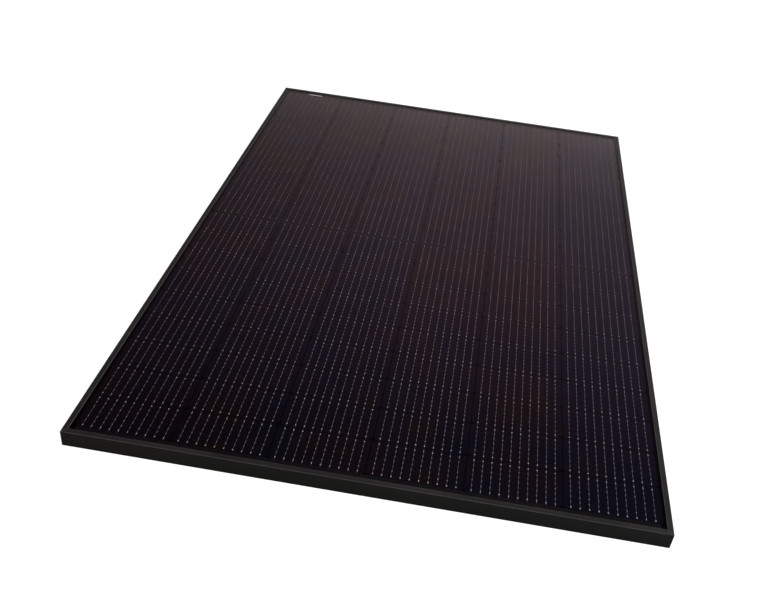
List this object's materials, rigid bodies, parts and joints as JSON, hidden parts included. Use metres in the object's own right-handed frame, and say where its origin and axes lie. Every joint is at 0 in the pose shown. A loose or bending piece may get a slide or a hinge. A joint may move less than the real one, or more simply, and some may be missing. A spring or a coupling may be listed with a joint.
{
  "type": "solar panel",
  "caption": "Framed photovoltaic module with dark half-cut cells under glass, a black anodised aluminium frame and split junction boxes on the back.",
  "frame": {"origin": "centre of the frame's underside, on the surface that the module lies on", "axes": "+Z out of the glass, +Y along the module's length towards the end with the serial label, +X to the right when the label is far left"},
  "size_m": [1.134, 1.722, 0.035],
  "materials": {
    "frame_black": "black anodised, satin",
    "bare_aluminium": "mill finish",
    "sealant": "satin",
    "solar_glass": "clear, lightly textured",
    "encapsulant": "clear",
    "backsheet": "matt",
    "silicon": "dark blue anti-reflection coating with fine grid fingers",
    "tinned_copper": "tinned",
    "cover_strip": "matt",
    "label": "matt, blank",
    "box_plastic": "fine spark texture",
    "copper_plate": "bare",
    "diode_body": "moulded",
    "gasket_rubber": "matt",
    "potting_silicone": "satin",
    "adhesive_silicone": "satin",
    "gland_plastic": "moulded"
  },
  "bodies": {
    "module": {"left_rail": "frame_black", "right_rail": "frame_black", "near_rail": "frame_black", "far_rail": "frame_black", "corner_keys": "bare_aluminium", "edge_sealant": "sealant", "front_glass": "solar_glass", "front_encapsulant": "encapsulant", "rear_encapsulant": "encapsulant", "backsheet": "backsheet", "cells_far_1": "silicon", "wires_far_1": "tinned_copper", "cells_far_2": "silicon", "wires_far_2": "tinned_copper", "cells_far_3": "silicon", "wires_far_3": "tinned_copper", "cells_far_4": "silicon", "wires_far_4": "tinned_copper", "cells_far_5": "silicon", "wires_far_5": "tinned_copper", "cells_far_6": "silicon", "wires_far_6": "tinned_copper", "cells_near_1": "silicon", "wires_near_1": "tinned_copper", "cells_near_2": "silicon", "wires_near_2": "tinned_copper", "cells_near_3": "silicon", "wires_near_3": "tinned_copper", "cells_near_4": "silicon", "wires_near_4": "tinned_copper", "cells_near_5": "silicon", "wires_near_5": "tinned_copper", "cells_near_6": "silicon", "wires_near_6": "tinned_copper", "end_ribbons": "tinned_copper", "centre_ribbons": "tinned_copper", "lead_outs": "tinned_copper", "cover_strips": "cover_strip", "serial_label": "label", "left_box_base": "box_plastic", "left_terminals": "copper_plate", "left_bypass_diode": "diode_body", "middle_box_base": "box_plastic", "middle_terminals": "copper_plate", "middle_bypass_diode": "diode_body", "right_box_base": "box_plastic", "right_terminals": "copper_plate", "right_bypass_diode": "diode_body", "lid_gaskets": "gasket_rubber", "box_potting": "potting_silicone", "box_adhesive": "adhesive_silicone", "left_gland_seal": "gasket_rubber", "right_gland_seal": "gasket_rubber"},
    "left_lid": {"left_box_lid": "box_plastic"},
    "middle_lid": {"middle_box_lid": "box_plastic"},
    "right_lid": {"right_box_lid": "box_plastic"},
    "left_ring": {"left_gland_ring": "gland_plastic"},
    "left_nut": {"left_gland_nut": "box_plastic"},
    "right_ring": {"right_gland_ring": "gland_plastic"},
    "right_nut": {"right_gland_nut": "box_plastic"}
  },
  "joints": [
    {"name": "left_lid_off", "type": "slide", "parent": "module", "child": "left_lid", "axis": [0, 0, -1], "range_m": [0, 0.04]},
    {"name": "middle_lid_off", "type": "slide", "parent": "module", "child": "middle_lid", "axis": [0, 0, -1], "range_m": [0, 0.04]},
    {"name": "right_lid_off", "type": "slide", "parent": "module", "child": "right_lid", "axis": [0, 0, -1], "range_m": [0, 0.04]},
    {"name": "left_ring_slide", "type": "slide", "parent": "module", "child": "left_ring", "axis": [-1, 0, 0], "range_m": [0, 0.006]},
    {"name": "left_nut_turn", "type": "hinge", "parent": "left_ring", "child": "left_nut", "pos_m": [-0.412, 0, 0.01885], "axis": [-1, 0, 0], "range_deg": [0, 1440]},
    {"name": "right_ring_slide", "type": "slide", "parent": "module", "child": "right_ring", "axis": [1, 0, 0], "range_m": [0, 0.006]},
    {"name": "right_nut_turn", "type": "hinge", "parent": "right_ring", "child": "right_nut", "pos_m": [0.412, 0, 0.01885], "axis": [1, 0, 0], "range_deg": [0, 1440]}
  ],
  "couplings": [
    {"joint": "left_ring_slide", "follows": "left_nut_turn", "m_per_rad": 0.00023873},
    {"joint": "right_ring_slide", "follows": "right_nut_turn", "m_per_rad": 0.00023873}
  ]
}
